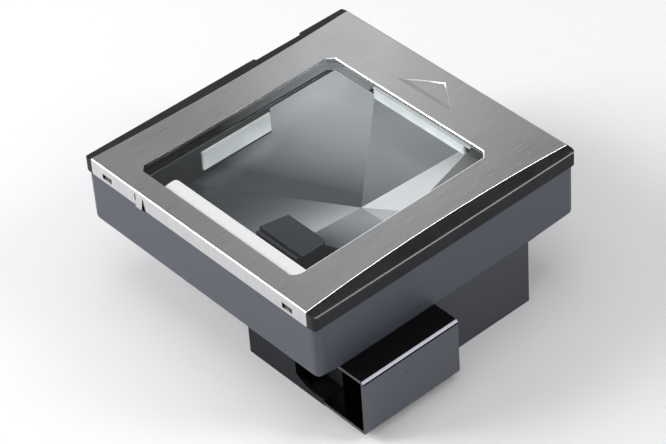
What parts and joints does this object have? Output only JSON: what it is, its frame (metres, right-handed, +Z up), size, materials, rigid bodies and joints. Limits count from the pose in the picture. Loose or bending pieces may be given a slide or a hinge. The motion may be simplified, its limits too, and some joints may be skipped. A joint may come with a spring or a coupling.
{
  "type": "flatbed barcode scanner",
  "caption": "Square drop-in counter scanner with a steel-topped lift-off cover, a glass window over mirrors and light panels, a plastic tray, a lower electronics box and a side bracket.",
  "frame": {"origin": "middle of the tray's underside, the face that rests on the ledge of the counter cut-out", "axes": "+Z up; +Y away from the operator, the way the arrow on the cover points; +X to the operator's right, towards the bracket"},
  "size_m": [0.1662, 0.1524, 0.07],
  "materials": {
    "brushed_steel": "linear brushed",
    "rail_plastic": "fine textured, black",
    "housing_plastic": "moulded, slate grey",
    "bracket_paint": "gloss black",
    "window_glass": "clear, polished",
    "lens_glass": "coated",
    "seal_rubber": "matt",
    "label_film": "printed film",
    "mirror": "front-silvered",
    "diffuser": "opal",
    "circuit_board": "solder mask",
    "chip_epoxy": "moulded epoxy",
    "black_plastic": "moulded",
    "chassis_plastic": "moulded, dark grey",
    "ribbon": "polyimide film",
    "zinc": "zinc plated"
  },
  "bodies": {
    "housing": {"aux_port": "black_plastic", "base_plate": "housing_plastic", "base_screw_1": "zinc", "base_screw_2": "zinc", "base_screw_3": "zinc", "base_screw_4": "zinc", "beeper": "black_plastic", "board_screw_1": "zinc", "board_screw_2": "zinc", "board_screw_3": "zinc", "board_screw_4": "zinc", "bracket_screw_1": "zinc", "bracket_screw_2": "zinc", "button_switch": "black_plastic", "camera_board": "circuit_board", "camera_housing": "black_plastic", "case_screw_1": "zinc", "case_screw_2": "zinc", "case_screw_3": "zinc", "case_screw_4": "zinc", "chassis_screw_1": "zinc", "chassis_screw_2": "zinc", "chassis_screw_3": "zinc", "chassis_screw_4": "zinc", "dust_seal": "seal_rubber", "flex_cable": "ribbon", "front_mirror": "mirror", "host_port": "black_plastic", "image_sensor": "chip_epoxy", "left_diffuser": "diffuser", "left_led_board": "circuit_board", "left_mirror": "mirror", "lens_barrel": "black_plastic", "lens_element": "lens_glass", "lower_housing": "housing_plastic", "main_board": "circuit_board", "memory_chip": "chip_epoxy", "mounting_bracket": "bracket_paint", "optical_chassis": "chassis_plastic", "processor": "chip_epoxy", "rating_plate": "label_film", "rear_diffuser": "diffuser", "rear_led_board": "circuit_board", "rear_mirror": "mirror", "right_front_mirror": "mirror", "right_middle_mirror": "mirror", "right_rear_mirror": "mirror", "switch_board": "circuit_board", "upper_housing": "housing_plastic"},
    "cover": {"cover_skin": "brushed_steel", "cover_frame": "rail_plastic", "window_glass": "window_glass", "window_gasket": "seal_rubber", "window_label": "label_film"},
    "release_tongue": {"release_tongue": "brushed_steel"},
    "volume_button": {"volume_button": "rail_plastic"}
  },
  "joints": [
    {"name": "cover_lift", "type": "slide", "parent": "housing", "child": "cover", "axis": [0, 0, 1], "range_m": [0, 0.06]},
    {"name": "catch_press", "type": "slide", "parent": "cover", "child": "release_tongue", "axis": [0, 1, 0], "range_m": [0, 0.001], "stiffness_N_per_m": 800},
    {"name": "volume_press", "type": "slide", "parent": "housing", "child": "volume_button", "axis": [1, 0, 0], "range_m": [0, 0.001], "stiffness_N_per_m": 600}
  ]
}
